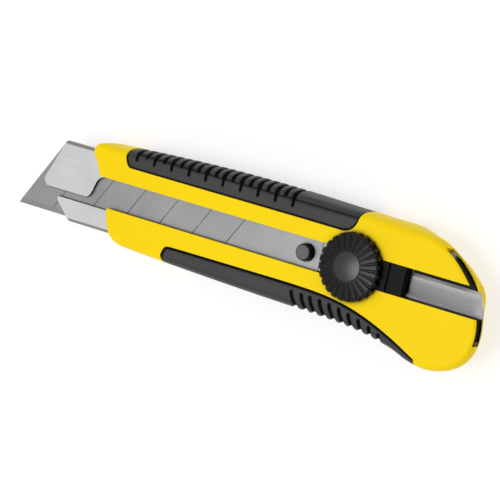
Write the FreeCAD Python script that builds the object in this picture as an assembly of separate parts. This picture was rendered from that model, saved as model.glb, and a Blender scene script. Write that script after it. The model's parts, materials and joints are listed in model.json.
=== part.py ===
import FreeCAD, Part
import math
import os
from FreeCAD import Vector

# Snap-off knife for 25 mm segmented blades, with a screw wheel lock.
# The knife lies on its flat back. +X runs from the blade tip to the butt,
# +Y towards the spine, +Z out of the face that carries the wheel.
# The frame's origin is on the flat back, on the blade channel's centre plane.
# Everything is drawn about the blade hole (X, Y) and the blade's front
# surface (Z), then moved to the frame with HOLE_X and BLADE_Z.

# ---------------------------------------------------------------- dimensions
HOLE_X = 12.0            # blade hole centre, from the frame origin
FACE = 2.3               # front face of the body, above the blade's front surface
THICK = 16.0             # body thickness
BACK = FACE - THICK      # back face
BLADE_Z = -BACK          # height of the blade's front surface over the back face
SPLIT = -5.0             # parting plane between the two shells
RUN = 0.1                # running gap round the channel and its strip

# cutting tools reach out to these, clear of every piece
PAST_NOSE = -130.0
PAST_BUTT = 100.0
TALL = 20.0

# blade
BLADE_W = 25.0
BLADE_T = 0.7
BLADE_L = 126.05
SEGMENT = 14.0           # score line pitch
SCORE_LINES = 6
SEGMENT_ANGLE = 60.0     # score line angle
TIP_X = -120.45          # blade tip, from the hole
REAR_X = TIP_X + BLADE_L
BLADE_HOLE_R = 3.3
BLADE_CORNER = 2.0       # cut-off rear corners
BEVEL = 1.9              # width of the ground bevel
EDGE_HALF = 0.04         # half thickness left at the cutting edge
SCORE_DEPTH = 0.14
SCORE_WIDTH = 0.34

# blade channel
SHEET = 0.8              # sheet thickness
CH_HALF = 13.95          # half width, outside
CH_FRONT = 0.95          # outer face of the lips
CH_BACK = -2.55          # outer face of the floor
CH_BEND = 1.4            # outer bend radius
CH_NOSE_END = -115.0     # raw length, before the ends are shaped
CH_BUTT_END = 75.0
LIP_BACK = CH_FRONT - SHEET
FLOOR_Z = CH_BACK + SHEET
LIP_EDGE = 6.2           # half gap between the lips behind the window
RIB_LOW = -4.95          # pressed rib along the floor, lower and upper foot
RIB_HIGH = 3.4
RIB_UP = 0.4
RIB_TOP = FLOOR_Z + RIB_UP
RIB_SIDE = 0.85          # width of the rib's sloping sides
TAIL = 5.15              # half width of the floor strip that runs out to the butt
STRIP_FROM = 40.6        # the floor is slotted beside the strip from here back
STRIP_TOP = 3.55         # spine side edge of the floor strip beside that slot
STOP_X = 54.3            # inner face of the end plugs
FLANK = 12.4             # from here outwards the channel's sides reach the butt
FLANK_INSET = 1.3        # the sides end this far inside the outline

# openings in the shells
WINDOW = 5.18            # half width of the window in the front shell
RELIEF_SIDE = 1.1        # recess behind the window's edges
RELIEF_TOP = 1.65
RELIEF_END = 57.0
MOUTH_TOP = 1.85         # front edge of the slot through the butt
MOUTH_BACK = -2.0        # back edge of that slot
MOUTH_X = 52.3           # the slot's spine side end runs out here
MOUTH_HIGH = 14.95
MOUTH_WALL = 1.1         # outline inset of the wall behind the slot's back edge
MOUTH_WALL_X = 51.0

# shells and grips
WALL = 2.0
GRIP_T = 1.7             # soft grip thickness at the side
GRIP_FACE_T = 0.8        # soft grip thickness on the front face
GRIP_BACK_T = 1.4        # soft grip thickness on the back face
HOLLOW_INSET = GRIP_T + WALL + 0.4
HOLLOW_X = (-80.5, 42.5)
HOLLOW_Z = (-11.0, -4.3)
INNER_BACK = -11.8       # foot of the bosses and cross ribs
BOSS_R = 2.6
BOSS_TOP = -4.2
CROSS_RIBS_X = (-70.0, -25.0, -5.0, 15.0)
CROSS_RIB_T = 1.2
CROSS_RIB_HALF = 14.0
CROSS_RIB_TOP = -8.0

# shell screws
SCREWS = [(-45.0, 15.45), (-45.0, -15.45), (35.5, 15.7), (46.0, -19.4)]
SCREW_R = 1.05
SCREW_TIP = -1.2
SCREW_HOLE_TOP = -0.9
HEAD_R = 1.75
HEAD_GAP = 0.15
HEAD_Z = BACK + 3.0      # outer face of the heads, sunk below the back face
HEAD_TOP = HEAD_Z + 1.3
CROSS_HALF = 1.15        # cross recess: half length, half width, depth
CROSS_SLIT = 0.25
CROSS_DEPTH = 0.7

# slider
CARRIER_GAP = 0.07       # over the channel floor and its rib
CARRIER_BACK = FLOOR_Z + CARRIER_GAP
CARRIER_TOP = -BLADE_T - 0.05
RIB_CLEAR = RIB_TOP + CARRIER_GAP
PIN_NECK_R = 1.8
PIN_FOOT_R = 3.1
PIN_R = 2.85
PIN_TOP = 2.9
PIN_CHAMFER = 0.4
RIVETS = [(36.0, 1.8), (36.0, -2.2)]
RIVET_R = 1.0
RIVET_HEAD_R = 1.45
RIVET_HEAD_H = 0.4
RIVET_TOP = 1.0
PLATE_TOP = LIP_BACK - 0.05
BLOCK_HALF = WINDOW - 0.13
BLOCK_REAR = 40.0
COLLAR_R = 9.2
COLLAR_Z0 = FACE + 0.08
COLLAR_Z1 = 3.05

# lock: stud, ring, washer
KNOB_X = 19.64           # wheel axis, from the blade hole
STUD_R = 2.45
STUD_BORE = 2.50
STUD_CHAMFER = 0.1
SLEEVE_R = 3.50
SLEEVE_GAP = 0.06
INSERT_TOP = 4.40
LOCK_LIFT = 1.2          # how far the wheel backs off before the ring stops it
RING_R = 3.9
RING_BORE = STUD_R - 0.45
RING_Z0 = INSERT_TOP + LOCK_LIFT
RING_Z1 = RING_Z0 + 0.35
STUD_TOP = RING_Z1 + 0.12
THREAD_Z = 1.2
THREAD_PITCH = 0.8
THREAD_GROOVES = 5
THREAD_DEPTH = 0.25
WASHER_R = 7.2
WASHER_Z0 = COLLAR_Z1 + 0.02
WASHER_Z1 = 3.55

# wheel and its cap
KNOB_R = 11.75           # over the wheel's lobes
KNOB_LOBES = 24
LOBE_START = 5.0         # angle of the first groove
KNOB_BOTTOM = 2.75
KNOB_UNDER = WASHER_Z1 + 0.05
KNOB_RIM = 5.40
KNOB_TOP = 6.20
KNOB_FLAT_R = 5.4        # flat middle of the top
FLANGE_R = 4.6
CAP_R = 4.9
CAP_BORE = 4.3
CAP_BASE = 5.55
DOME_H = 0.40

OUT = "parts"

# Body outline at its widest section: x, y, share of nose rounding, share of
# butt taper. Runs from the nose along the spine, round the butt and back.
OUTLINE = [
    (-92.35, 13.2, 1.0, 0), (-92.0, 14.9, 1.0, 0), (-90.7, 16.3, 0.9, 0),
    (-88.4, 16.95, 0.6, 0), (-84.3, 17.25, 0.2, 0), (-79.9, 17.5, 0, 0),
    (-73.0, 17.95, 0, 0), (-66.0, 18.35, 0, 0), (-58.0, 18.75, 0, 0),
    (-50.0, 19.1, 0, 0), (-41.0, 19.4, 0, 0), (-31.0, 19.6, 0, 0),
    (-20.0, 19.7, 0, 0), (-9.0, 19.6, 0, 0), (2.0, 19.4, 0, 0),
    (12.0, 19.15, 0, 0), (21.0, 19.0, 0, 0), (29.0, 18.85, 0, 0),
    (36.0, 18.7, 0, 0), (41.5, 18.5, 0, 0.2), (46.4, 17.95, 0, 0.5),
    (50.6, 16.85, 0, 0.62), (54.25, 15.05, 0, 0.7), (57.55, 12.9, 0, 0.62),
    (60.65, 10.4, 0, 0.5), (63.5, 7.65, 0, 0.42), (65.95, 4.7, 0, 0.42),
    (67.8, 1.3, 0, 0.52), (69.2, -2.2, 0, 0.75), (70.15, -5.8, 0, 0.92),
    (70.6, -9.3, 0, 1), (70.55, -12.9, 0, 1), (69.75, -16.5, 0, 0.95),
    (68.0, -19.9, 0, 0.85), (65.2, -22.8, 0, 0.7), (61.5, -25.0, 0, 0.55),
    (57.2, -26.35, 0, 0.4), (52.8, -26.85, 0, 0.3), (48.4, -26.4, 0, 0.2),
    (44.2, -25.3, 0, 0.1), (40.2, -23.85, 0, 0), (36.2, -22.85, 0, 0),
    (32.2, -22.05, 0, 0), (28.0, -21.4, 0, 0), (23.0, -20.85, 0, 0),
    (17.0, -20.45, 0, 0), (9.0, -20.1, 0, 0), (0.0, -19.85, 0, 0),
    (-10.0, -19.7, 0, 0), (-21.0, -19.45, 0, 0), (-32.0, -19.15, 0, 0),
    (-43.0, -18.8, 0, 0), (-54.0, -18.45, 0, 0), (-63.0, -18.1, 0, 0),
    (-70.0, -17.7, 0.2, 0), (-74.6, -17.0, 0.6, 0), (-77.4, -15.6, 0.9, 0),
    (-79.5, -13.4, 1.0, 0), (-80.9, -10.7, 1.0, 0), (-81.85, -7.7, 1.0, 0),
    (-82.7, -4.5, 1.0, 0), (-84.4, -1.0, 1.0, 0), (-86.3, 2.6, 1.0, 0),
    (-88.4, 6.3, 1.0, 0), (-90.6, 10.2, 1.0, 0),
]
# How far the outline draws in at each height: z, inset at side, butt, nose.
SECTION = [
    (2.3, 3.1, 1.9, 1.0), (2.1, 2.35, 1.3, 0.62), (1.7, 1.75, 0.9, 0.3),
    (1.0, 1.15, 0.72, 0.06), (0.0, 0.65, 0.65, 0.0), (-1.6, 0.25, 0.65, 0.0),
    (-4.0, 0.03, 1.7, 0.0), (-6.5, 0.0, 3.2, 0.0), (-9.0, 0.25, 5.0, 0.0),
    (-11.2, 1.0, 6.9, 0.15), (-12.6, 2.05, 8.3, 0.6), (-13.4, 3.2, 9.4, 1.3),
    (-13.7, 4.2, 10.2, 2.0),
]

# Soft grip boundaries in plan: x, y.
TAIL_X = 49.6            # the lower grip ends here in a blunt edge
LOWER_OUTSIDE = -34.0    # clear of the body's lower side
UPPER_FRONT = [(-75.6, 23.5), (-77.2, 19.8), (-78.2, 16.2), (-77.6, 13.2), (-76.6, 11.6),
               (-75.4, 10.85)]
UPPER_EDGE = [(-75.4, 10.85), (-62.0, 10.85), (-30.0, 10.9), (0.0, 10.95), (11.5, 10.9)]
UPPER_REAR = [(11.5, 10.9), (14.6, 11.3), (16.6, 12.6), (17.9, 14.8), (18.5, 17.6),
              (19.6, 20.3), (21.5, 23.5)]
LOWER_FRONT = [(-52.0, -23.5), (-54.8, -18.6), (-55.7, -15.8), (-55.3, -13.6)]
LOWER_EDGE = [(-55.3, -13.6), (-54.4, -12.2), (-52.0, -11.75), (-38.0, -11.6), (-15.0, -11.45),
              (4.0, -11.5), (13.0, -12.0), (20.0, -13.0), (28.0, -15.0), (36.0, -17.75),
              (43.5, -20.95), (TAIL_X, -23.9)]

# Notch through the back at the butt: x, y.
NOTCH = [(71.7, WINDOW), (63.1, WINDOW), (65.3, 0.0), (66.7, -WINDOW), (71.7, -WINDOW)]
# Front end of the opening between the channel's lips: x, y.
LIP_CURVE = [(-92.6, -3.55), (-91.2, -3.05), (-90.2, -1.5), (-89.5, 0.8), (-88.7, 3.0),
             (-87.3, 4.5), (-85.6, 5.0)]
# Channel in plan, shaped at the nose: x, y, corner radius.
CHANNEL_PLAN = [
    (-104.6, 15.0, 0.3), (-105.1, 13.4, 1.2), (-111.3, -1.4, 1.6), (-109.7, -3.55, 2.0),
    (-104.0, -6.15, 0.5), (-103.75, -7.6, 1.2), (-96.4, -14.6, 0.8), (-96.0, -16.0, 0.3),
    (PAST_BUTT, -16, 0), (PAST_BUTT, 15, 0),
]
# What is cut off beyond the floor strip's end: x, y.
STRIP_END = [(PAST_BUTT, 8.0), (63.1, 8.0), (65.8, 4.4), (67.2, 1.4), (68.35, -1.6),
             (69.1, -4.9), (69.4, -8.0), (PAST_BUTT, -8.0)]
# Lower halves of two plates symmetric about y = 0: x, y, corner radius.
CARRIER_HALF = [(-9, -9, 1.0), (-5, -12.9, 1.0), (28.0, -12.9, 1.0), (29.4, -10.0, 0.5),
                (30.1, -5.0, 0.5), (38.6, -5.0, 0.8)]
CLAMP_HALF = [(9.4, -12.4, 1.2), (28.0, -12.4, 1.2), (30.0, -9.5, 1.2)]


# ------------------------------------------------------------------- helpers
def plan(pairs, z=0.0):
    return [Vector(x, y, z) for x, y in pairs]


def upright(pairs, y=0.0):
    return [Vector(x, y, z) for x, z in pairs]


def closed_polygon(points):
    return Part.makePolygon(points + [points[0]])


def polygon_face(points):
    return Part.Face(closed_polygon(points))


def poly(pairs, z0, z1):
    return polygon_face(plan(pairs, z0)).extrude(Vector(0, 0, z1 - z0))


def x_prism(pairs, x0=PAST_NOSE, x1=PAST_BUTT):
    """Prism along X over a polygon of (y, z) pairs."""
    return polygon_face([Vector(x0, y, z) for y, z in pairs]).extrude(Vector(x1 - x0, 0, 0))


def prism(wire, z0, z1):
    base = wire.copy()
    base.translate(Vector(0, 0, z0 - base.BoundBox.ZMin))
    return Part.Face(base).extrude(Vector(0, 0, z1 - z0))


def box(x0, x1, y0, y1, z0=-TALL, z1=TALL):
    return Part.makeBox(x1 - x0, y1 - y0, z1 - z0, Vector(x0, y0, z0))


def cyl(radius, z0, z1, x=0.0, y=0.0):
    return Part.makeCylinder(radius, z1 - z0, Vector(x, y, z0), Vector(0, 0, 1))


def hole(radius, x=0.0, y=0.0):
    return cyl(radius, -TALL, TALL, x, y)


def tube(outer_r, inner_r, z0, z1, x):
    return cyl(outer_r, z0, z1, x).cut(cyl(inner_r, z0, z1, x))


def cone(r0, r1, z0, z1, x=0.0, y=0.0):
    return Part.makeCone(r0, r1, z1 - z0, Vector(x, y, z0), Vector(0, 0, 1))


def revolve(face):
    return face.revolve(Vector(0, 0, 0), Vector(0, 0, 1), 360)


def fuse_all(shapes):
    result = shapes[0]
    for shape in shapes[1:]:
        result = result.fuse(shape)
    return result


def keep_big(shape, least):
    """Drop slivers left by the cuts."""
    solids = [solid for solid in shape.Solids if solid.Volume > least]
    return solids[0] if len(solids) == 1 else Part.makeCompound(solids)


def spline(points, closed=False):
    curve = Part.BSplineCurve()
    if closed:
        curve.interpolate(Points=points, PeriodicFlag=True)
    else:
        curve.interpolate(Points=points)
    return curve


def line_edges(points):
    return [Part.LineSegment(a, b).toShape() for a, b in zip(points[:-1], points[1:])]


def spline_region(curves, corners, z0=-TALL, z1=TALL):
    """Prism bounded by splines end to end, closed by lines through the corners."""
    edges = [spline(plan(curve)).toShape() for curve in curves]
    edges += line_edges(plan([curves[-1][-1], *corners, curves[0][0]]))
    return prism(Part.Wire(Part.__sortEdges__(edges)), z0, z1)


def rounded(corners):
    """Closed wire of straight lines through (x, y, radius) corners."""
    count = len(corners)
    places = plan([corner[:2] for corner in corners])
    ends = []
    for i, place in enumerate(places):
        radius = corners[i][2]
        if radius <= 0:
            ends.append((place, None, place))
            continue
        before = (places[i - 1] - place).normalize()
        after = (places[(i + 1) % count] - place).normalize()
        half = before.getAngle(after) / 2
        setback = radius / math.tan(half)
        bisector = (before + after).normalize()
        middle = place + bisector * (radius / math.sin(half) - radius)
        ends.append((place + before * setback, middle, place + after * setback))
    edges = []
    for i, (start, middle, end) in enumerate(ends):
        if middle is not None:
            edges.append(Part.Arc(start, middle, end).toShape())
        next_start = ends[(i + 1) % count][0]
        if (next_start - end).Length > 1e-6:
            edges.append(Part.LineSegment(end, next_start).toShape())
    return Part.Wire(edges)


def mirrored(half):
    """Corners of the lower half, then their mirror images in reverse order."""
    return half + [(x, -y, radius) for x, y, radius in reversed(half)]


# -------------------------------------------------------------- body volumes
def outline_normals(points):
    """Outward normals; the outline runs clockwise, so they lie left of travel."""
    curve = spline(points, closed=True)
    normals = []
    for point in points:
        tangent = curve.tangent(curve.parameter(point))[0]
        normals.append(Vector(-tangent.y, tangent.x, 0).normalize())
    return normals


POINTS = plan([row[:2] for row in OUTLINE])
NORMALS = outline_normals(POINTS)


def inset_wire(insets, z):
    """The outline at height z, each point drawn in by its own inset."""
    ring = []
    for point, normal, inset in zip(POINTS, NORMALS, insets):
        place = point - normal * inset
        ring.append(Vector(place.x, place.y, z))
    return Part.Wire([spline(ring, closed=True).toShape()])


def plan_wire(inset, z):
    return inset_wire([inset] * len(OUTLINE), z)


def plan_prism(inset):
    return prism(plan_wire(inset, 0), -TALL, TALL)


def body_solid(extra, front, back):
    """The outer form, drawn in by extra all round and between the two heights."""
    wires = []
    for level, side_inset, butt_inset, nose_inset in SECTION:
        insets = []
        for _, _, nose, butt in OUTLINE:
            side = max(0.0, 1 - nose - butt)
            inset = nose * nose_inset + butt * butt_inset + side * side_inset
            # the extra inset is smaller at the nose and the butt
            insets.append(inset + extra * (1 - 0.7 * nose) * (1 - 0.6 * butt))
        share = (FACE - level) / THICK
        wires.append(inset_wire(insets, front + (back - front) * share))
    return Part.makeLoft(wires, True, False)


def make_butt_wall():
    """Low wall that closes the slot's back half at the butt, beside the strip."""
    wall = box(MOUTH_WALL_X, PAST_BUTT, -20, 20, CH_BACK - 3, MOUTH_BACK)
    wall = wall.cut(plan_prism(MOUTH_WALL))
    return wall.cut(box(0, PAST_BUTT + 10, -TAIL - RUN, STRIP_TOP + RUN))


def make_slot(butt_wall):
    """Room for the channel, widened towards the front and the spine at the butt."""
    half = CH_HALF + RUN
    slot = box(PAST_NOSE, PAST_BUTT, -half, half, CH_BACK - RUN, CH_FRONT + RUN)
    slot = slot.fuse(box(STOP_X - 0.5, PAST_BUTT, -half, half, CH_FRONT, MOUTH_TOP))
    slot = slot.fuse(box(MOUTH_X, PAST_BUTT, CH_HALF - 1, MOUTH_HIGH, MOUTH_BACK, MOUTH_TOP))
    return slot.cut(butt_wall)


def make_hollow():
    """The empty middle of the handle, between the nose wall and the butt wall."""
    ring = []
    for point, normal in zip(POINTS, NORMALS):
        if HOLLOW_X[0] < point.x < HOLLOW_X[1]:
            place = point - normal * HOLLOW_INSET
            ring.append((place.x, place.y))
    return poly(ring, *HOLLOW_Z)


def make_bosses(body):
    return fuse_all([cyl(BOSS_R, INNER_BACK, BOSS_TOP, x, y) for x, y in SCREWS]).common(body)


def make_shell(pocketed, butt_wall, bosses):
    """Both shells in one, before the parting plane divides them."""
    window = box(PAST_NOSE, PAST_BUTT, -WINDOW, WINDOW, CH_BACK - RUN, TALL).cut(butt_wall)
    relief_half = WINDOW + RELIEF_SIDE
    relief = box(PAST_NOSE, RELIEF_END, -relief_half, relief_half, CH_FRONT, RELIEF_TOP)
    notch = poly(NOTCH, -TALL, CH_BACK)
    shell = pocketed.cut(make_slot(butt_wall)).cut(window).cut(relief).cut(notch)
    shell = shell.cut(make_hollow())
    cross_ribs = fuse_all([box(x - CROSS_RIB_T / 2, x + CROSS_RIB_T / 2, -CROSS_RIB_HALF,
                               CROSS_RIB_HALF, INNER_BACK, CROSS_RIB_TOP)
                           for x in CROSS_RIBS_X])
    shell = shell.fuse(bosses).fuse(cross_ribs)
    for x, y in SCREWS:
        shell = shell.cut(cyl(SCREW_R, -12.5, SCREW_HOLE_TOP, x, y))
        shell = shell.cut(cyl(HEAD_R + HEAD_GAP, -TALL, HEAD_TOP, x, y))
    return shell


def clear_of(grip, body):
    """Take off the grip whatever still reaches into the shell under it."""
    if grip.common(body).Volume < 0.002:
        return grip
    trimmed = grip.cut(body)
    # a cut that went wrong, or took far too much, leaves the grip as it was
    good = trimmed.isValid() and abs(trimmed.Volume - grip.Volume) < 1.0
    return trimmed if good else grip


def make_grip(skin, bosses, front_shell, back_shell):
    grip = skin
    for x, y in SCREWS:
        grip = grip.cut(cyl(HEAD_R + HEAD_GAP, -TALL, SCREW_HOLE_TOP, x, y))
    grip = clear_of(clear_of(grip.cut(bosses), back_shell), front_shell)
    return keep_big(grip, 30.0)


def make_shell_screws():
    screws = []
    for x, y in SCREWS:
        screw = cyl(HEAD_R, HEAD_Z, HEAD_TOP, x, y)
        screw = screw.fuse(cyl(SCREW_R, HEAD_TOP, SCREW_TIP, x, y))
        for half_x, half_y in ((CROSS_HALF, CROSS_SLIT), (CROSS_SLIT, CROSS_HALF)):
            screw = screw.cut(box(x - half_x, x + half_x, y - half_y, y + half_y,
                                  HEAD_Z - 0.1, HEAD_Z + CROSS_DEPTH))
        screws.append(screw)
    return Part.makeCompound(screws)


# ------------------------------------------------------------- blade channel
def channel_form(inset, x0, x1):
    """Rounded bar along X, the channel's outside drawn in by inset."""
    half = CH_HALF - inset
    back = CH_BACK + inset
    front = CH_FRONT - inset
    bend = CH_BEND - inset
    wire = rounded([(-half, back, bend), (half, back, bend),
                    (half, front, bend), (-half, front, bend)])
    # turn the wire from the XY plane into the YZ plane
    turn = FreeCAD.Matrix(0, 0, 1, 0, 1, 0, 0, 0, 0, 1, 0, 0, 0, 0, 0, 1)
    wire = wire.transformGeometry(turn)
    wire.translate(Vector(x0 - wire.BoundBox.XMin, 0, 0))
    return Part.Face(wire).extrude(Vector(x1 - x0, 0, 0))


def make_blade_channel(butt_wall):
    channel = channel_form(0, CH_NOSE_END, CH_BUTT_END)
    channel = channel.cut(channel_form(SHEET, CH_NOSE_END - 1, CH_BUTT_END + 1))
    foot = FLOOR_Z - 0.05
    rib = [(RIB_LOW, foot), (RIB_LOW, FLOOR_Z), (RIB_LOW + RIB_SIDE, RIB_TOP),
           (RIB_HIGH - RIB_SIDE, RIB_TOP), (RIB_HIGH, FLOOR_Z), (RIB_HIGH, foot)]
    channel = channel.fuse(x_prism(rib, CH_NOSE_END, CH_BUTT_END))
    # opening between the lips, and the open strip between the two nose plates
    corners = [(LIP_CURVE[-1][0], LIP_EDGE), (PAST_BUTT, LIP_EDGE), (PAST_BUTT, -LIP_EDGE),
               (PAST_NOSE, -LIP_EDGE), (PAST_NOSE, LIP_CURVE[0][1])]
    channel = channel.cut(spline_region([LIP_CURVE], corners, LIP_BACK - 0.05, CH_FRONT + 1))
    channel = channel.common(prism(rounded(CHANNEL_PLAN), -TALL, TALL))
    # rear end: the floor stops at the end plugs, the middle strip runs out to the butt
    channel = channel.cut(poly(STRIP_END, -TALL, TALL))
    for y0, y1 in ((TAIL, FLANK), (-FLANK, -TAIL)):
        channel = channel.cut(box(STOP_X - 0.05, PAST_BUTT, y0, y1))
    channel = channel.cut(box(STRIP_FROM, PAST_BUTT, STRIP_TOP, TAIL + 0.45,
                              -TALL, RIB_TOP + 0.1))
    # the sides follow the butt
    flank_y = FLANK - 0.2
    flanks = box(STOP_X - 4, PAST_BUTT, flank_y, 20)
    flanks = flanks.fuse(box(STOP_X - 4, PAST_BUTT, -20, -flank_y))
    channel = channel.cut(flanks.cut(plan_prism(FLANK_INSET))).cut(butt_wall)
    return keep_big(channel, 50.0)


def make_channel_end_plugs():
    """The two plugs beside the floor strip at the butt."""
    half = FLANK - 0.05
    plugs = box(STOP_X, PAST_BUTT, -half, half, CH_BACK, CH_FRONT)
    plugs = plugs.cut(box(0, PAST_BUTT + 10, -TAIL - RUN, TAIL + RUN))
    # a flat tongue of the spine side plug fills the floor's slot beside the strip
    plugs = plugs.fuse(box(STRIP_FROM + 0.05, PAST_BUTT, STRIP_TOP + 0.05, TAIL + 0.4,
                           CH_BACK, FLOOR_Z - 0.03))
    # their outer ends slope, so that the slot through the butt stays open at its mouth
    ends = [plan_wire(MOUTH_WALL + 0.1, CH_BACK - 0.5), plan_wire(2.5, CH_FRONT + 0.5)]
    return keep_big(plugs.common(Part.makeLoft(ends, True, True)), 2.0)


# --------------------------------------------------------------------- blade
def score_section(x, y):
    half = SCORE_WIDTH / 2 / math.sin(math.radians(SEGMENT_ANGLE))
    return closed_polygon([Vector(x - half, y, 0.01), Vector(x + half, y, 0.01),
                           Vector(x, y, -SCORE_DEPTH)])


def make_blade():
    half = BLADE_W / 2
    slope = 1 / math.tan(math.radians(SEGMENT_ANGLE))
    corner_x = REAR_X - BLADE_CORNER
    corner_y = half - BLADE_CORNER
    blade = poly([(TIP_X, -half), (TIP_X + BLADE_W * slope, half), (corner_x, half),
                  (REAR_X, corner_y), (REAR_X, -corner_y), (corner_x, -half)], -BLADE_T, 0)
    blade = blade.cut(hole(BLADE_HOLE_R))
    # ground bevels, front and back
    middle = -BLADE_T / 2
    for face_z, edge_z in ((0.0, middle + EDGE_HALF), (-BLADE_T, middle - EDGE_HALF)):
        blade = blade.cut(x_prism([(-half + BEVEL, face_z), (-half - 0.3, face_z),
                                   (-half - 0.3, middle), (-half, edge_z)]))
    # score lines, run out past both long edges
    over = 1
    for k in range(1, SCORE_LINES + 1):
        x = TIP_X + SEGMENT * k
        low = score_section(x - over * slope, -half - over)
        high = score_section(x + (BLADE_W + over) * slope, half + over)
        blade = blade.cut(Part.makeLoft([low, high], True, True))
    return keep_big(blade, 10.0)


# -------------------------------------------------------------------- slider
def rivet_head(x, y):
    return cone(RIVET_HEAD_R, RIVET_R, RIB_CLEAR, RIB_CLEAR + RIVET_HEAD_H, x, y)


def make_blade_carrier():
    carrier = prism(rounded(mirrored(CARRIER_HALF)), CARRIER_BACK, CARRIER_TOP)
    # chamfers that clear the channel's bends
    for side in (1, -1):
        carrier = carrier.cut(x_prism([(side * 13.5, CARRIER_BACK - 0.1),
                                       (side * 13.5, CARRIER_BACK + 0.9),
                                       (side * 12.3, CARRIER_BACK - 0.1)]))
    carrier = carrier.cut(hole(PIN_NECK_R))
    for x, y in RIVETS:
        carrier = carrier.cut(rivet_head(x, y)).cut(hole(RIVET_R, x, y))
    # groove over the channel's rib
    return carrier.cut(box(PAST_NOSE, PAST_BUTT, RIB_LOW - 0.2, RIB_HIGH + 0.2,
                           CARRIER_BACK - 1, RIB_CLEAR))


def make_blade_pin():
    shoulder = PIN_TOP - PIN_CHAMFER
    pin = cyl(PIN_NECK_R, RIB_CLEAR, CARRIER_TOP)
    pin = pin.fuse(cone(PIN_FOOT_R, PIN_R, CARRIER_TOP, shoulder))
    pin = pin.fuse(cone(PIN_R, PIN_R - PIN_CHAMFER, shoulder, PIN_TOP))
    return pin.removeSplitter()


def make_carrier_rivets():
    rivets = []
    for x, y in RIVETS:
        shank = cyl(RIVET_R, RIB_CLEAR + RIVET_HEAD_H, RIVET_TOP, x, y)
        rivets.append(rivet_head(x, y).fuse(shank).removeSplitter())
    return Part.makeCompound(rivets)


def make_clamp_plate():
    plate = prism(rounded(mirrored(CLAMP_HALF)), -BLADE_T, PLATE_TOP)
    plate = plate.cut(hole(STUD_R, KNOB_X))
    # a tongue of the plate runs forward to the blade's rear edge
    tongue = box(REAR_X + 0.15, 9.6, -BLOCK_HALF, BLOCK_HALF, -BLADE_T, -0.03)
    return plate.fuse(tongue).removeSplitter()


def make_slider_block():
    block = box(8.9, 33.2, -BLOCK_HALF, BLOCK_HALF, PLATE_TOP, COLLAR_Z0)
    block = block.fuse(box(31.0, BLOCK_REAR, -BLOCK_HALF, BLOCK_HALF, CARRIER_TOP, 1.55))
    block = block.fuse(cyl(COLLAR_R, COLLAR_Z0, COLLAR_Z1, KNOB_X))
    # slope across the front of the rear end
    lead = upright([(BLOCK_REAR, 0.6), (BLOCK_REAR, 2.0), (BLOCK_REAR - 1, 2.0)],
                   -BLOCK_HALF - 1)
    block = block.cut(polygon_face(lead).extrude(Vector(0, 2 * BLOCK_HALF + 2, 0)))
    block = block.cut(cyl(SLEEVE_R + SLEEVE_GAP, PLATE_TOP + 0.5, TALL, KNOB_X))
    block = block.cut(hole(STUD_R + 0.05, KNOB_X))
    for x, y in RIVETS:
        block = block.cut(cyl(RIVET_R, -5, RIVET_TOP, x, y))
    return block.removeSplitter()


# ---------------------------------------------------------------------- lock
def make_lock_stud():
    shoulder = STUD_TOP - STUD_CHAMFER
    stud = cyl(STUD_R, -BLADE_T, shoulder, KNOB_X)
    stud = stud.fuse(cone(STUD_R, STUD_R - STUD_CHAMFER, shoulder, STUD_TOP, KNOB_X))
    stud = stud.cut(tube(STUD_R + 1, RING_BORE, RING_Z0, RING_Z1, KNOB_X))
    # fine annular grooves stand for the thread between the block and the ring
    for n in range(THREAD_GROOVES):
        z = THREAD_Z + THREAD_PITCH * n
        stud = stud.cut(tube(STUD_R + 1, STUD_R - THREAD_DEPTH, z, z + THREAD_PITCH / 2, KNOB_X))
    return stud


def make_retaining_ring():
    """Flat ring with a gap towards the butt."""
    ring = tube(RING_R, RING_BORE, RING_Z0, RING_Z1, KNOB_X)
    return ring.cut(box(KNOB_X, KNOB_X + 6, -1.6, 1.6))


def make_thrust_washer():
    return tube(WASHER_R, SLEEVE_R + SLEEVE_GAP, WASHER_Z0, WASHER_Z1, KNOB_X)


def make_knob_insert():
    insert = cyl(SLEEVE_R, 1.05, KNOB_UNDER, KNOB_X)
    insert = insert.fuse(cyl(FLANGE_R, KNOB_UNDER, INSERT_TOP, KNOB_X))
    return insert.cut(hole(STUD_BORE, KNOB_X)).removeSplitter()


def make_lock_knob():
    profile = [(0, KNOB_UNDER), (9.5, KNOB_UNDER), (9.6, KNOB_BOTTOM),
               (KNOB_R - 0.35, KNOB_BOTTOM), (KNOB_R, KNOB_BOTTOM + 0.3),
               (KNOB_R, KNOB_RIM - 0.9), (KNOB_R - 0.3, KNOB_RIM - 0.35),
               (KNOB_R - 0.95, KNOB_RIM), (KNOB_FLAT_R, KNOB_TOP), (0, KNOB_TOP)]
    knob = revolve(polygon_face(upright(profile)))
    groove_at = KNOB_R + 0.08
    for n in range(KNOB_LOBES):
        angle = 2 * math.pi * n / KNOB_LOBES + math.radians(LOBE_START)
        across = Vector(math.cos(angle), math.sin(angle), 0)
        knob = knob.cut(hole(0.85, groove_at * across.x, groove_at * across.y))
        # radial flute on the sloping top
        start = across * KNOB_FLAT_R + Vector(0, 0, KNOB_TOP + 0.34)
        run = across * 13.0 + Vector(0, 0, KNOB_RIM - 0.18) - start
        knob = knob.cut(Part.makeCone(0.48, 0.78, run.Length, start, run))
    knob = knob.cut(cyl(FLANGE_R, 0, INSERT_TOP)).cut(hole(CAP_BORE))
    knob = knob.cut(cyl(CAP_R, CAP_BASE, TALL))
    knob.translate(Vector(KNOB_X, 0, 0))
    return keep_big(knob, 20.0)


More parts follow.
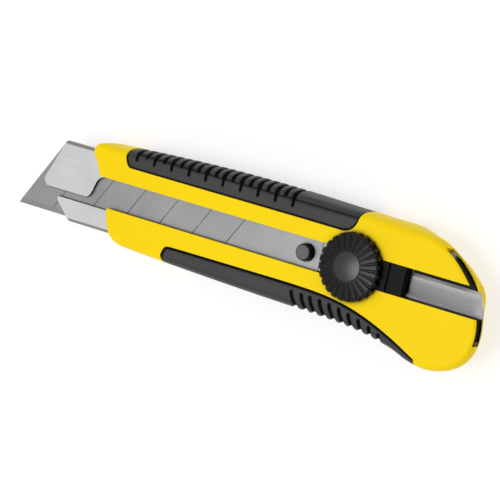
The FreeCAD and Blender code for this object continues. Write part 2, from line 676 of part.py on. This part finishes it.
def make_knob_cap():
    """Domed cap with a short skirt, sunk into the wheel's top."""
    dome_top = KNOB_TOP + DOME_H
    dome_r = (CAP_R ** 2 + DOME_H ** 2) / (2 * DOME_H)
    mid_angle = math.asin(CAP_R / dome_r) / 2
    skirt = upright([(CAP_BORE, CAP_BASE), (CAP_R, CAP_BASE), (CAP_R, KNOB_TOP)])
    dome_mid = Vector(dome_r * math.sin(mid_angle), 0,
                      dome_top - dome_r + dome_r * math.cos(mid_angle))
    inside = upright([(0, dome_top), (0, 6.16), (3.2, 6.12), (CAP_BORE, 5.9)])
    edges = line_edges(skirt)
    edges.append(Part.Arc(skirt[-1], dome_mid, inside[0]).toShape())
    edges += line_edges(inside + [skirt[0]])
    cap = revolve(Part.Face(Part.Wire(edges)))
    cap.translate(Vector(KNOB_X, 0, 0))
    return cap


# ------------------------------------------------------------------ assembly
outer = body_solid(0.0, FACE, BACK)
grip_core = body_solid(GRIP_T, FACE - GRIP_FACE_T, BACK + GRIP_BACK_T)
upper_region = spline_region([UPPER_FRONT, UPPER_EDGE, UPPER_REAR], [])
lower_region = spline_region([LOWER_FRONT, LOWER_EDGE],
                             [(TAIL_X, LOWER_OUTSIDE), (LOWER_FRONT[0][0], LOWER_OUTSIDE)])
upper_skin = outer.cut(grip_core).common(upper_region)
lower_skin = outer.cut(grip_core).common(lower_region)
pocketed = outer.cut(upper_skin.fuse(lower_skin))

butt_wall = make_butt_wall()
bosses = make_bosses(pocketed)
shell = make_shell(pocketed, butt_wall, bosses)
front_shell = keep_big(shell.common(box(-200, 200, -60, 60, SPLIT, TALL)), 20.0)
back_shell = keep_big(shell.common(box(-200, 200, -60, 60, -TALL, SPLIT)), 20.0)

NODES = {
    "front_shell": front_shell,
    "back_shell": back_shell,
    "upper_grip": make_grip(upper_skin, bosses, front_shell, back_shell),
    "lower_grip": make_grip(lower_skin, bosses, front_shell, back_shell),
    "shell_screws": make_shell_screws(),
    "blade_channel": make_blade_channel(butt_wall),
    "channel_end_plugs": make_channel_end_plugs(),
    "blade": make_blade(),
    "blade_carrier": make_blade_carrier(),
    "blade_pin": make_blade_pin(),
    "carrier_rivets": make_carrier_rivets(),
    "slider_block": make_slider_block(),
    "clamp_plate": make_clamp_plate(),
    "lock_stud": make_lock_stud(),
    "retaining_ring": make_retaining_ring(),
    "thrust_washer": make_thrust_washer(),
    "lock_knob": make_lock_knob(),
    "knob_insert": make_knob_insert(),
    "knob_cap": make_knob_cap(),
}
os.makedirs("parts", exist_ok=True)
for name, shape in NODES.items():
    placed = shape.copy()
    placed.translate(Vector(HOLE_X, 0, BLADE_Z))
    placed.exportStep(os.path.join(OUT, name + ".step"))
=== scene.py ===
"""Looks of a wide snap-off knife with a screw wheel lock, lying on a pale floor.

The knife is long in X, wide in Y and thick in Z, with its face up (+Z). The upper soft grip
is on its +Y side, the lower one on its -Y side. The floor is just under z = 0.
"""
import bpy
import json
from functools import cached_property
import numpy as np
from mathutils import Matrix, Vector


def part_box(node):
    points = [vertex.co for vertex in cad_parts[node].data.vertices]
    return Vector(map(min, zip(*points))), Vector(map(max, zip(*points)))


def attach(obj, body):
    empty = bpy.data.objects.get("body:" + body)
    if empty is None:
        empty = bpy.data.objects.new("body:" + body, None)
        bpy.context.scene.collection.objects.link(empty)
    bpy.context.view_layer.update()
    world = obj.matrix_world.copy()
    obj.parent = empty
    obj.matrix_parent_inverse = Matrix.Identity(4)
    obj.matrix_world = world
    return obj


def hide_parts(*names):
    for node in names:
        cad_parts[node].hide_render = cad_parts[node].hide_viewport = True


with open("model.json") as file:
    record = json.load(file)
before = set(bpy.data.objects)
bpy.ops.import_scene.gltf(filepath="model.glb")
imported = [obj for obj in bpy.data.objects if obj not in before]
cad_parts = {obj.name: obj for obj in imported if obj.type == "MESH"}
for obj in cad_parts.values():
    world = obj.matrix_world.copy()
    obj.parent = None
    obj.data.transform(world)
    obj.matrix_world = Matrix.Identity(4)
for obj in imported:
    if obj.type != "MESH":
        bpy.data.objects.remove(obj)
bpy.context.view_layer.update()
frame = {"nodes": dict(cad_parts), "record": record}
NODES = frame["nodes"]
scene = bpy.context.scene

MM = 0.001
ORIGIN = np.array([12.0, 0, 13.7])   # drawing origin (blade hole, blade surface) in the frame, mm

# Grips, in drawing mm
VOXEL = 0.26
FACE_Z = 2.3                         # height of the grips' face
SIGHT_X, SIGHT_Y = 0.5859, 0.154     # slide in X and Y per mm of height, along the line of sight
GRIP_AXIS_Y, GRIP_AXIS_Z = 11.0, -5.7   # line along X that the grip's outside faces away from
FACE_ROOM = 0.60                     # deepest groove on the face, shaded as a full cavity
SIDE_RISE = 2.2                      # width over which the room grows round the side

# Studio, in metres
FLOOR_SIZE, FLOOR_Z = 6.0, -0.0002
WORLD_LOW, WORLD_HIGH = 0.30, 0.80   # dome strength, dark side and bright side
DOME_AXIS = (-0.42, -0.12, 0.90)     # towards the brightest part of the dome
KEY_PLACE = (-0.11, -0.13, 1.0)
KEY_SIZE = 0.46
KEY_POWER = 3.3
CAMERA_PLACE = (0.497369, 0.128437, 0.879582)
CAMERA_AXES = ((0.8280607592, 0.2141305167, -0.5181346359),    # right
               (-0.2513992769, 0.9678818342, -0.0017772191),   # up
               (0.5011125449, 0.1317303182, 0.8552972235))     # back, towards the viewer


# ------------------------------------------------------------ shader helpers
def srgb(*levels):
    """Linear RGBA from 0-255 sRGB levels."""
    shares = [level / 255 for level in levels]
    return (*(s / 12.92 if s <= 0.04045 else ((s + 0.055) / 1.055) ** 2.4 for s in shares), 1)


def grey(level):
    return srgb(level, level, level)


class Shader:
    """Adds nodes to a material or world; any input takes a socket or a plain value."""

    def __init__(self, owner):
        owner.use_nodes = True
        self.nodes = owner.node_tree.nodes
        self.links = owner.node_tree.links

    def feed(self, socket, value):
        if isinstance(value, bpy.types.NodeSocket):
            self.links.new(value, socket)
        else:
            socket.default_value = value

    def node(self, kind, inputs=None, **settings):
        new = self.nodes.new(kind)
        for key, value in settings.items():
            setattr(new, key, value)
        for key, value in (inputs or {}).items():
            self.feed(new.inputs[key], value)
        return new

    @cached_property
    def coords(self):
        return self.node("ShaderNodeTexCoord").outputs["Object"]

    def stretched(self, scale):
        return self.node("ShaderNodeMapping", {"Vector": self.coords, "Scale": scale}).outputs[0]

    def noise(self, scale, detail, rough, vector=None):
        inputs = {"Vector": vector or self.coords, "Scale": scale,
                  "Detail": detail, "Roughness": rough}
        return self.node("ShaderNodeTexNoise", inputs).outputs["Fac"]

    def math(self, operation, *values):
        inputs = dict(enumerate(values))
        return self.node("ShaderNodeMath", inputs, operation=operation).outputs[0]

    def fade(self, value, between, to=(0.0, 1.0), kind="SMOOTHSTEP"):
        """Value remapped from the range `between` to the range `to`."""
        inputs = dict(enumerate((value, *between, *to)))
        return self.node("ShaderNodeMapRange", inputs, interpolation_type=kind).outputs[0]

    def mix(self, factor, first, second):
        inputs = {0: factor, 6: first, 7: second}
        return self.node("ShaderNodeMix", inputs, data_type="RGBA").outputs[2]

    def split(self, vector):
        return tuple(self.node("ShaderNodeSeparateXYZ", {0: vector}).outputs)

    def xyz(self):
        return self.split(self.coords)

    def normal(self):
        return self.split(self.node("ShaderNodeNewGeometry").outputs["Normal"])

    def openness(self, reach, samples=10):
        """Ambient occlusion: 1 in the open, lower in corners."""
        inputs = {"Distance": reach}
        return self.node("ShaderNodeAmbientOcclusion", inputs, samples=samples).outputs["AO"]

    def relief(self, height, depth, edge):
        """Bump normal, over edges rounded to the radius `edge` unless it is 0."""
        inputs = {"Strength": 1.0, "Distance": depth, "Height": height}
        if edge:
            bevel = self.node("ShaderNodeBevel", {"Radius": edge}, samples=6)
            inputs["Normal"] = bevel.outputs[0]
        return self.node("ShaderNodeBump", inputs).outputs[0]


class Surface(Shader):
    """A new material with one Principled shader."""

    def __init__(self, name):
        self.material = bpy.data.materials.new(name)
        super().__init__(self.material)
        self.nodes.clear()
        output = self.node("ShaderNodeOutputMaterial")
        self.bsdf = self.node("ShaderNodeBsdfPrincipled")
        self.links.new(self.bsdf.outputs[0], output.inputs[0])

    def set(self, name, value):
        self.feed(self.bsdf.inputs[name], value)


# ----------------------------------------------------------------- materials
def plastic(name, colour, dark, rough, rough_var, grain, grain_scale, edge, spec,
            cavity=False, corner_shade=None):
    """Clouded plastic with a fine grain; the cavity option paints shade into the grooves, and the
    last argument is the reach and colour of painted corner shade.
    """
    s = Surface(name)
    cloud = s.noise(scale=38.0, detail=2.0, rough=0.5)
    fine = s.noise(scale=grain_scale, detail=3.0, rough=0.6)
    speck = (*(c * 0.8 for c in colour[:3]), 1)
    shade = s.mix(s.fade(cloud, between=(0.3, 0.7)), colour, dark)
    shade = s.mix(s.fade(fine, between=(0.35, 0.65), to=(0.0, 0.10)), shade, speck)
    roughness = s.fade(fine, between=(0.3, 0.7), to=(rough - rough_var, rough + rough_var))
    s.set("Specular IOR Level", spec)
    if cavity:
        # grooves get painted shade, a darker colour, and are also duller and rougher
        carved = s.node("ShaderNodeAttribute", attribute_name="cavity").outputs["Fac"]
        deep = s.fade(carved, between=(0.15, 0.75))
        shade = s.mix(deep, shade, grey(9))
        s.set("Specular IOR Level", s.fade(deep, between=(0.0, 1.0), to=(spec, 0.05),
                                           kind="LINEAR"))
        roughness = s.math("ADD", roughness, s.math("MULTIPLY", deep, 0.3))
    if corner_shade:
        # painted shade next to raised parts, only above the foot of the raised parts
        reach, corner_shade_colour = corner_shade
        near = s.fade(s.openness(reach), between=(0.48, 0.80), to=(1.0, 0.0))
        high = s.fade(s.xyz()[2], between=(0.0152, 0.0159))
        shade = s.mix(s.math("MULTIPLY", near, high), shade, corner_shade_colour)
    s.set("Base Color", shade)
    s.set("Roughness", roughness)
    s.set("Coat Roughness", 0.15)
    s.set("Normal", s.relief(fine, grain, edge))
    return s.material


def steel(name, colour, light, rough, rough_var, brush, edge, stretch, extra=None):
    """Brushed metal; `stretch` scales the brush noise along X, Y and Z."""
    s = Surface(name)
    lines = s.noise(scale=1.0, detail=4.0, rough=0.65, vector=s.stretched(stretch))
    cloud = s.noise(scale=60.0, detail=3.0, rough=0.5)
    blend = s.math("ADD", s.math("MULTIPLY", lines, 0.35), s.math("MULTIPLY", cloud, 0.65))
    shade = s.mix(s.fade(blend, between=(0.3, 0.7)), colour, light)
    s.set("Metallic", 1.0)
    if extra:
        shade = extra(s, shade)
    s.set("Base Color", shade)
    s.set("Roughness", s.fade(lines, between=(0.3, 0.7),
                              to=(rough - rough_var, rough + rough_var)))
    s.set("Normal", s.relief(lines, brush, edge))
    return s.material


def inside_channel(s, shade):
    """Painted light and shade on the sheet: darker greys inside the channel, a painted highlight
    on the rib's slopes, and painted shade on the bends and on faces towards +X outside.
    """
    x, y, z = s.xyz()
    nx, ny, nz = s.normal()
    off_middle = s.math("ABSOLUTE", y)
    tilt = s.math("ABSOLUTE", ny)
    inside = s.fade(z, between=(0.0128, 0.0133), to=(1.0, 0.0))
    # painted shade and light along the channel floor: darker greys, lighter towards +X and
    # towards +Y
    along = s.fade(x, between=(0.052, 0.082), kind="LINEAR")
    painted_inside = s.mix(along, grey(92), grey(104))
    painted_inside = s.mix(s.fade(x, between=(0.0765, 0.0795)), painted_inside, grey(122))
    painted_inside = s.mix(s.fade(y, between=(-0.004, 0.0025)), painted_inside, s.mix(along, grey(108), grey(116)))
    # painted highlight on the rib's slopes: a bright grey, and the least metallic part
    slope_highlight = s.fade(tilt, between=(0.08, 0.4))
    painted_inside = s.mix(slope_highlight, painted_inside, grey(205))
    slope_highlight_inside = s.math("MULTIPLY", s.math("MULTIPLY", slope_highlight, inside), 0.85)
    s.set("Metallic", s.math("SUBTRACT", 1.0, slope_highlight_inside))
    # painted soft light band on the +Y side
    painted_inside = s.mix(s.fade(y, between=(0.0004, 0.0026), to=(0.0, 0.45)), painted_inside, grey(150))
    # shade gathers at the foot of the block, wherever the slider stands
    corner = s.fade(s.openness(0.006, samples=12), between=(0.42, 0.72), to=(1.0, 0.0))
    middle = s.fade(off_middle, between=(0.0030, 0.0040), to=(1.0, 0.0))
    painted_inside = s.mix(s.math("MULTIPLY", corner, middle), painted_inside, grey(24))
    # outside the channel: painted shade, greyer on the bends and black on faces towards +X
    shade = s.mix(s.fade(tilt, between=(0.06, 0.4)), shade, grey(148))
    shade = s.mix(s.fade(nx, between=(0.25, 0.7)), shade, grey(14))
    return s.mix(inside, shade, painted_inside)


def under_plate(s, shade):
    """Painted shade on the blade where the sheet covers it."""
    covered = s.fade(s.openness(0.0012), between=(0.35, 0.9), to=(1.0, 0.0))
    return s.mix(covered, shade, grey(38))


def pin_side_shade(s, shade):
    """Painted shade darkens the pin's sides; its flat end keeps the lighter steel colour."""
    side_shade = s.fade(s.normal()[2], between=(0.55, 0.9), to=(1.0, 0.0))
    return s.mix(side_shade, shade, grey(16))


# grain, brush and edge are lengths in metres
PLASTICS = {
    # the yellow shell gets painted brown shade in corners next to raised parts, as round the knob
    "yellow_shell": dict(colour=srgb(255, 221, 0), dark=srgb(253, 216, 0), rough=0.42,
                         rough_var=0.05, grain=0.000004, grain_scale=3500.0, edge=0.00025,
                         spec=0.1, corner_shade=(0.006, srgb(70, 46, 2))),
    "soft_grip": dict(colour=grey(50), dark=grey(45), rough=0.5, rough_var=0.08,
                      grain=0.00002, grain_scale=2600.0, edge=0.0, spec=0.4, cavity=True),
    "black_plastic": dict(colour=grey(9), dark=grey(6), rough=0.42, rough_var=0.06,
                          grain=0.000008, grain_scale=3000.0, edge=0.00015, spec=0.12),
    "knob_plastic": dict(colour=grey(11), dark=grey(8), rough=0.31, rough_var=0.04,
                         grain=0.000004, grain_scale=3000.0, edge=0.00012, spec=0.26),
    "knob_cap_plastic": dict(colour=grey(30), dark=grey(26), rough=0.28, rough_var=0.04,
                             grain=0.000004, grain_scale=3000.0, edge=0.00012, spec=0.52),
}
STEELS = {
    "stainless_sheet": dict(colour=grey(196), light=grey(208), rough=0.36, rough_var=0.04,
                            brush=0.0000006, edge=0.0001, stretch=(60, 3000, 3000),
                            extra=inside_channel),
    "blade_steel": dict(colour=grey(141), light=grey(151), rough=0.4, rough_var=0.04,
                        brush=0.0000008, edge=0.00004, stretch=(3000, 90, 3000),
                        extra=under_plate),
    # the pin gets painted shade on its sides
    "pin_steel": dict(colour=grey(78), light=grey(96), rough=0.42, rough_var=0.08,
                      brush=0.000003, edge=0.00015, stretch=(900, 900, 900), extra=pin_side_shade),
    "zinc_steel": dict(colour=grey(138), light=grey(150), rough=0.4, rough_var=0.06,
                       brush=0.000003, edge=0.0001, stretch=(800, 800, 800)),
    "brass": dict(colour=srgb(196, 160, 88), light=srgb(214, 178, 104), rough=0.3,
                  rough_var=0.08, brush=0.000003, edge=0.0001, stretch=(1500, 1500, 300)),
}
materials = {name: plastic(name, **look) for name, look in PLASTICS.items()}
materials.update({name: steel(name, **look) for name, look in STEELS.items()})


def set_material(node, name):
    node.data.materials.clear()
    node.data.materials.append(materials[name])


for part in frame["record"]["subparts"]:
    node = NODES[part["node"]]
    set_material(node, part["material_slot"])
set_material(NODES["knob_cap"], "knob_cap_plastic")


# ---------------------------------------------------------------- soft grips
# Seam lines round each grip, (x, y) in drawing mm
UPPER_SEAM = [
    # edge nearest the middle of the knife
    [(-75.4, 10.85), (-62.0, 10.85), (-30.0, 10.9), (0.0, 10.95), (11.5, 10.9)],
    # +X end
    [(11.5, 10.9), (14.6, 11.3), (16.6, 12.6), (17.9, 14.8), (18.5, 17.6), (19.6, 20.3),
     (21.5, 23.5)],
    # -X end
    [(-75.6, 23.5), (-77.2, 19.8), (-78.2, 16.2), (-77.6, 13.2), (-76.6, 11.6),
     (-75.4, 10.85)],
]
LOWER_SEAM = [
    # edge nearest the middle of the knife
    [(-55.3, -13.6), (-54.4, -12.2), (-52.0, -11.75), (-38.0, -11.6), (-15.0, -11.45),
     (4.0, -11.5), (13.0, -12.0), (20.0, -13.0), (28.0, -15.0), (36.0, -17.75),
     (43.5, -20.95), (49.6, -23.9)],
    # -X end
    [(-52.0, -23.5), (-54.8, -18.6), (-55.7, -15.8), (-55.3, -13.6)],
]
# Middles of the upper grip's grooves, x
LONG_GROOVES = [-73.5, -66.0, -58.7, -51.3, -44.2, -37.0, -29.7, -22.5, -15.3, -8.2]
SHORT_GROOVES = [-69.6, -62.2, -55.0, -47.8, -40.4, -33.4, -26.1, -18.9, -11.7]
# Tops of the lower grip's curved grooves, (x, y) along the line of sight
CURVED_GROOVES = [(-1.7, -13.8), (2.4, -13.9), (5.9, -13.9), (9.8, -14.0), (13.7, -14.3),
                  (17.7, -14.8), (21.7, -15.6), (25.9, -16.5), (30.3, -17.8), (34.4, -19.2)]
CURVED_SHIFT = 0.2344   # moves every curved groove towards +X
CURVED_FALL = 7.0       # fall over which they bend, straight beyond


def curve(points, steps=24):
    """Catmull-Rom polyline through the points."""
    p = np.array(points, float)
    p = np.vstack([2 * p[0] - p[1], p, 2 * p[-1] - p[-2]])
    out = []
    for a, b, c, d in zip(p, p[1:], p[2:], p[3:]):
        for t in np.linspace(0, 1, steps, endpoint=False):
            out.append(0.5 * (2 * b + (c - a) * t + (2 * a - 5 * b + 4 * c - d) * t * t
                              + (3 * b - a - 3 * c + d) * t ** 3))
    out.append(p[-2])
    return np.array(out)


def distance_to(xy, line):
    """Distance of each point to a polyline."""
    best = np.full(len(xy), 1e9)
    for start, end in zip(line[:-1], line[1:]):
        run = end - start
        t = np.clip(((xy - start) @ run) / max(run @ run, 1e-12), 0, 1)
        best = np.minimum(best, np.hypot(*(xy - (start + t[:, None] * run)).T))
    return best


def groove(distance, half_width, depth):
    """Depth of a round-bottomed groove at a distance from its middle."""
    t = np.clip(np.abs(distance) / half_width, 0, 1)
    return depth * (1 - t * t) ** 1.5


def ease(value, start, end):
    """Smooth step from 0 at start to 1 at end."""
    t = np.clip((value - start) / (end - start), 0, 1)
    return t * t * (3 - 2 * t)


def bell(value, middle, width):
    return np.exp(-((value - middle) / width) ** 2)


def vertex_vectors(mesh, key):
    values = np.zeros(len(mesh.vertices) * 3, np.float32)
    mesh.vertices.foreach_get(key, values)
    return values.reshape(-1, 3).astype(float)


def remeshed(node, name):
    """A voxel copy of a CAD node, as (object, vertices in drawing mm, normals)."""
    source = NODES[node].data.copy()
    copy = bpy.data.objects.new(name, source)
    scene.collection.objects.link(copy)
    voxel = copy.modifiers.new("voxel", "REMESH")
    voxel.mode = "VOXEL"
    voxel.voxel_size = VOXEL * MM
    voxel.adaptivity = 0.0
    voxel.use_smooth_shade = True
    graph = bpy.context.evaluated_depsgraph_get()
    mesh = bpy.data.meshes.new_from_object(
        copy.evaluated_get(graph), preserve_all_data_layers=False, depsgraph=graph)
    copy.modifiers.clear()
    copy.data = mesh
    bpy.data.meshes.remove(source)
    mesh.materials.clear()
    return copy, vertex_vectors(mesh, "co") / MM - ORIGIN, vertex_vectors(mesh, "normal")


def put_back(mesh, points, node):
    """Write drawing points to the mesh, kept inside the CAD node's box."""
    low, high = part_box(node)
    placed = np.clip((points + ORIGIN) * MM, np.array(low), np.array(high))
    mesh.vertices.foreach_set("co", placed.astype(np.float32).ravel())
    mesh.update()
    for face in mesh.polygons:
        face.use_smooth = True


def soften(mesh, points, times, factor):
    """Laplacian smoothing over the mesh edges."""
    edges = np.zeros(len(mesh.edges) * 2, np.int32)
    mesh.edges.foreach_get("vertices", edges)
    first, second = edges.reshape(-1, 2).T
    count = len(points)
    degree = np.bincount(edges, minlength=count).astype(float)
    degree[degree == 0] = 1
    for _ in range(times):
        total = np.zeros_like(points)
        for k in range(3):
            total[:, k] = (np.bincount(first, points[second, k], count)
                           + np.bincount(second, points[first, k], count))
        points = points + factor * (total / degree[:, None] - points)
    return points


def upper_depth(x, y, z):
    """Grooves across the upper grip that wrap over its +Y side, and two faint dents."""
    depth = np.zeros_like(x)
    leaned = x + 0.13 * np.clip(FACE_Z - z, 0, 12)
    for middle in LONG_GROOVES:
        half = 0.68 + 0.45 * ease(y, 15.4, 17.2)
        cut = groove(leaned - middle, half, depth=1.25) * ease(y, 13.6, 14.3)
        depth = np.maximum(depth, cut)
    for k, middle in enumerate(SHORT_GROOVES):
        low = 15.3 + 0.13 * k
        half = 0.66 + 0.3 * ease(y, 16.0, 17.5)
        cut = groove(leaned - middle, half, depth=1.25) * ease(y, low, low + 0.7)
        depth = np.maximum(depth, cut)
    sight_y = y + SIGHT_Y * (FACE_Z - z)
    long_dent = 0.34 * bell(y, 16.5, 0.75) * ease(x, -77, -73) * ease(z, -3, 1.5)
    end_dent = 0.12 * bell(sight_y, 19.6, 0.35) * ease(x, -6.5, -4.5) * ease(z, -6, -2)
    return np.maximum(depth, long_dent + end_dent)


def lower_depth(x, y, z):
    """Grooves that bend towards +X as they fall towards -Y, laid out along the line of sight."""
    depth = np.zeros_like(x)
    sight_x = x + SIGHT_X * (FACE_Z - z)
    sight_y = y + SIGHT_Y * (FACE_Z - z)
    for top_x, top_y in CURVED_GROOVES:
        fall = top_y - sight_y
        bent = np.clip(fall, 0, CURVED_FALL)
        straight = np.clip(fall - CURVED_FALL, 0, 20)
        middle = top_x + CURVED_SHIFT + 0.22 * bent + 0.085 * bent * bent + 1.3 * straight
        slope = 0.22 + 0.17 * bent
        across = (sight_x - middle) / np.sqrt(1 + slope ** 2)
        cut = groove(across, half_width=0.8, depth=1.0)
        depth = np.maximum(depth, cut * ease(fall, -0.5, 0.4) * ease(z, -9.5, -7.5))
    return depth


def grip(node, name, sign, carve, seam_lines, seam_shift, seam, side_start, side_room):
    """Carve a grip on the +Y (sign 1) or -Y (sign -1) side.

    Its grooves may go side_room deeper round the side, from side_start off the middle.
    """
    grip_object, points, normals = remeshed(node, name)
    mesh = grip_object.data
    x, y, z = points.T
    # only the outside is carved
    radial = np.c_[np.zeros_like(x), y - sign * GRIP_AXIS_Y, z - GRIP_AXIS_Z]
    radial /= np.maximum(np.linalg.norm(radial, axis=1), 1e-6)[:, None]
    outer = ease((normals * radial).sum(1), 0.25, 0.6)

    edge = np.minimum.reduce([distance_to(points[:, :2], curve(line)) for line in seam_lines])
    depth = np.maximum(carve(x, y, z), groove(edge - seam_shift, **seam))
    # the grip is thin on the face and thicker round the side
    side = np.clip((sign * y - side_start) / SIDE_RISE, 0, 1)
    room = FACE_ROOM + side_room * side * ease(-z, -2.2, 0.5)
    depth = np.minimum(depth, room) * outer

    points = soften(mesh, points, times=1, factor=0.4)
    points = points - normals * depth[:, None]
    points = soften(mesh, points, times=2, factor=0.35)
    put_back(mesh, points, node)
    # the groove depth, used for the painted shade in the grooves
    cavity = mesh.attributes.new("cavity", "FLOAT", "POINT")
    cavity.data.foreach_set("value", np.clip(depth / FACE_ROOM, 0, 1).astype(np.float32))
    mesh.materials.append(materials["soft_grip"])
    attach(grip_object, "handle")
    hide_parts(node)


grip("upper_grip", "upper_grip_ribbed", sign=1, carve=upper_depth, seam_lines=UPPER_SEAM,
     seam_shift=0.0, seam=dict(half_width=0.85, depth=0.62), side_start=16.6, side_room=0.80)
grip("lower_grip", "lower_grip_ribbed", sign=-1, carve=lower_depth, seam_lines=LOWER_SEAM,
     seam_shift=0.25, seam=dict(half_width=0.95, depth=0.66), side_start=16.9, side_room=0.25)


# -------------------------------------------------------------------- studio
def make_floor():
    """A pale floor that glows a little."""
    bpy.ops.mesh.primitive_plane_add(size=FLOOR_SIZE, location=(0, 0, FLOOR_Z))
    floor = bpy.context.object
    floor.name = "floor"
    s = Surface("floor")
    s.set("Base Color", (0.4, 0.4, 0.4, 1))
    s.set("Emission Color", (1, 1, 1, 1))
    s.set("Emission Strength", 0.65)
    s.set("Roughness", 0.9)
    s.set("Specular IOR Level", 0.1)
    floor.data.materials.append(s.material)


def make_world():
    """A dome, pale overhead and towards -X, darker low down; the camera sees it plain pale."""
    world = bpy.data.worlds.new("studio")
    scene.world = world
    s = Shader(world)
    direction = s.node("ShaderNodeTexCoord").outputs["Generated"]
    axis = Vector(DOME_AXIS).normalized()
    facing = s.node("ShaderNodeVectorMath", {0: direction, 1: axis}, operation="DOT_PRODUCT")
    strength = s.fade(facing.outputs["Value"], between=(-0.25, 0.95),
                      to=(WORLD_LOW, WORLD_HIGH))
    dome = s.nodes["Background"]
    s.feed(dome.inputs[0], (1, 1, 1, 1))
    s.feed(dome.inputs[1], strength)
    backdrop = s.node("ShaderNodeBackground", {0: (0.93, 0.93, 0.93, 1)})
    seen = s.node("ShaderNodeLightPath").outputs["Is Camera Ray"]
    pick = s.node("ShaderNodeMixShader", {0: seen, 1: dome.outputs[0], 2: backdrop.outputs[0]})
    s.feed(s.nodes["World Output"].inputs[0], pick.outputs[0])


def make_light():
    """A square light overhead, aimed at the frame's origin."""
    light = bpy.data.lights.new("overhead", "AREA")
    light.energy = KEY_POWER
    light.shape = "RECTANGLE"
    light.size = light.size_y = KEY_SIZE
    lamp = bpy.data.objects.new("overhead", light)
    scene.collection.objects.link(lamp)
    lamp.location = KEY_PLACE
    lamp.rotation_euler = (-Vector(KEY_PLACE)).to_track_quat("-Z", "Y").to_euler()
    lamp.visible_camera = False


def make_camera():
    lens = bpy.data.cameras.new("camera")
    lens.lens = 212.27
    lens.sensor_width = 36.0
    lens.clip_start = 0.01
    lens.clip_end = 10.0
    camera = bpy.data.objects.new("camera", lens)
    scene.collection.objects.link(camera)
    turn = Matrix(CAMERA_AXES).transposed().to_4x4()
    camera.matrix_world = Matrix.Translation(CAMERA_PLACE) @ turn
    scene.camera = camera


make_floor()
make_world()
make_light()
make_camera()
scene.view_settings.view_transform = "Standard"
scene.view_settings.look = "None"
scene.view_settings.exposure = 0.0
scene.view_settings.gamma = 1.0
